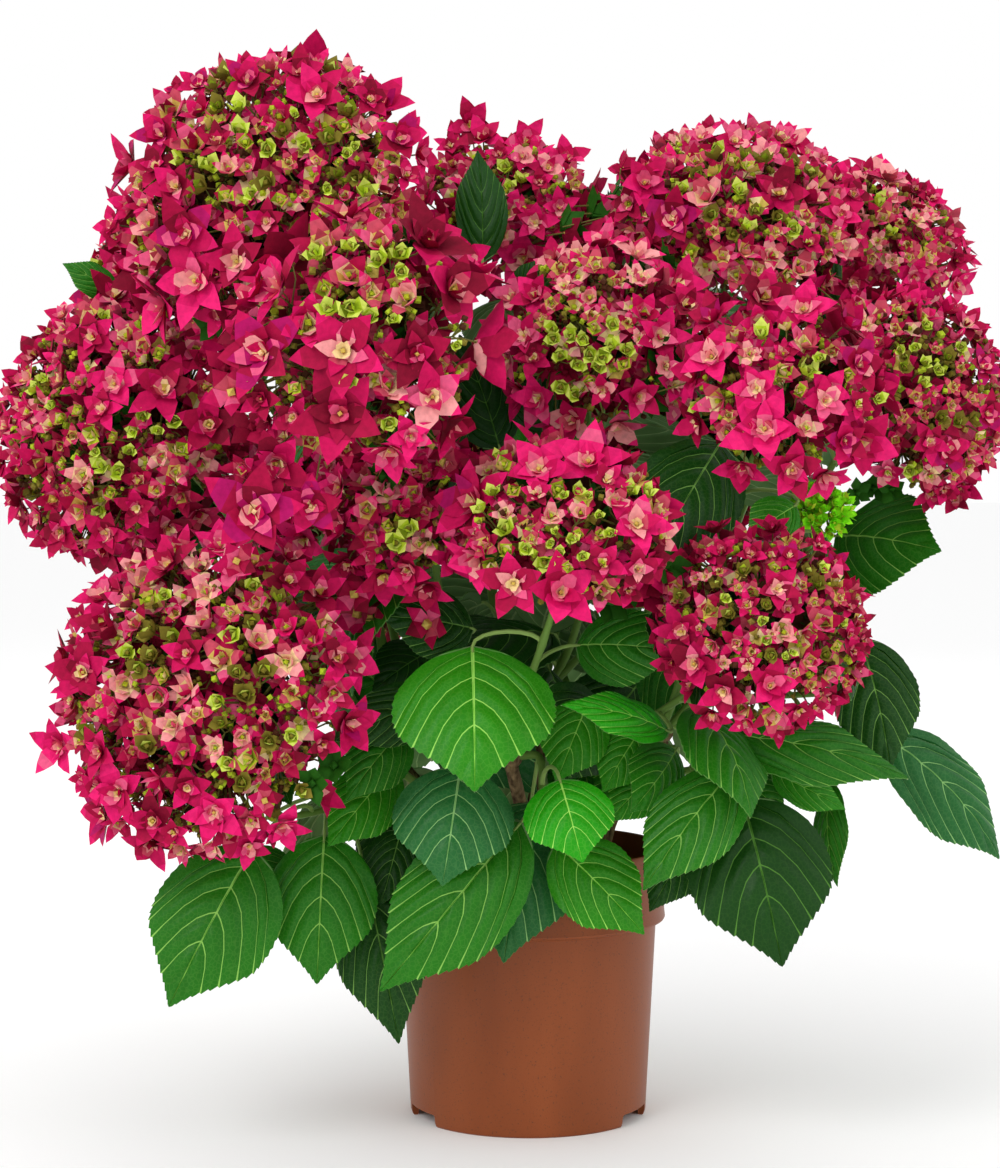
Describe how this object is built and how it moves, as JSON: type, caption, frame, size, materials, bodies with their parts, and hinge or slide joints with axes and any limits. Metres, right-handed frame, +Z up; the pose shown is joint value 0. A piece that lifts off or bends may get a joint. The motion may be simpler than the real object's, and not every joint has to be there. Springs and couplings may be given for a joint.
{
  "type": "potted hydrangea shrub",
  "caption": "Potted hydrangea shrub: woody canes, leafy shoots and rounded double-flowered magenta heads in a plain round nursery pot of compost.",
  "frame": {"origin": "middle of the pot's flat underside", "axes": "+Z up along the pot's middle line, -Y towards the plant's front, +X to the right seen from the front"},
  "size_m": [0.7275, 0.5928, 0.7458],
  "materials": {
    "pot": "satin",
    "compost": "matte",
    "cane": "matte",
    "leaf": "satin",
    "petal": "matte",
    "young_petal": "matte"
  },
  "bodies": {
    "root": {"pot": "pot", "potting_mix": "compost", "cane_back_left": "cane", "cane_back_right": "cane", "cane_centre": "cane", "cane_front": "cane", "cane_front_left": "cane", "cane_front_right": "cane", "cane_left": "cane", "cane_right": "cane", "shoot_back_crown": "leaf", "shoot_back_far_left": "leaf", "shoot_back_left": "leaf", "shoot_back_low": "leaf", "shoot_back_low_left": "leaf", "shoot_back_right": "leaf", "shoot_centre": "leaf", "shoot_centre_left": "leaf", "shoot_crown": "leaf", "shoot_far_left": "leaf", "shoot_far_right": "leaf", "shoot_inner_left": "leaf", "shoot_low_left": "leaf", "shoot_low_right": "leaf", "shoot_middle": "leaf", "shoot_middle_right": "leaf", "shoot_shoulder_left": "leaf", "shoot_skirt_back_left": "leaf", "shoot_skirt_back_right": "leaf", "shoot_skirt_far_right": "leaf", "shoot_skirt_front": "leaf", "shoot_skirt_left": "leaf", "shoot_skirt_right": "leaf", "shoot_top_left": "leaf", "shoot_top_right": "leaf", "shoot_upper_left": "leaf", "shoot_upper_right": "leaf", "shoot_young": "leaf", "head_back_crown": "petal", "head_back_far_left": "petal", "head_back_left": "petal", "head_back_low": "petal", "head_back_low_left": "petal", "head_back_right": "petal", "head_centre": "petal", "head_centre_left": "petal", "head_crown": "petal", "head_far_left": "petal", "head_far_right": "petal", "head_inner_left": "petal", "head_low_left": "petal", "head_low_right": "petal", "head_middle": "petal", "head_middle_right": "petal", "head_shoulder_left": "petal", "head_top_left": "petal", "head_top_right": "petal", "head_upper_left": "petal", "head_upper_right": "petal", "head_young": "young_petal"}
  },
  "joints": []
}
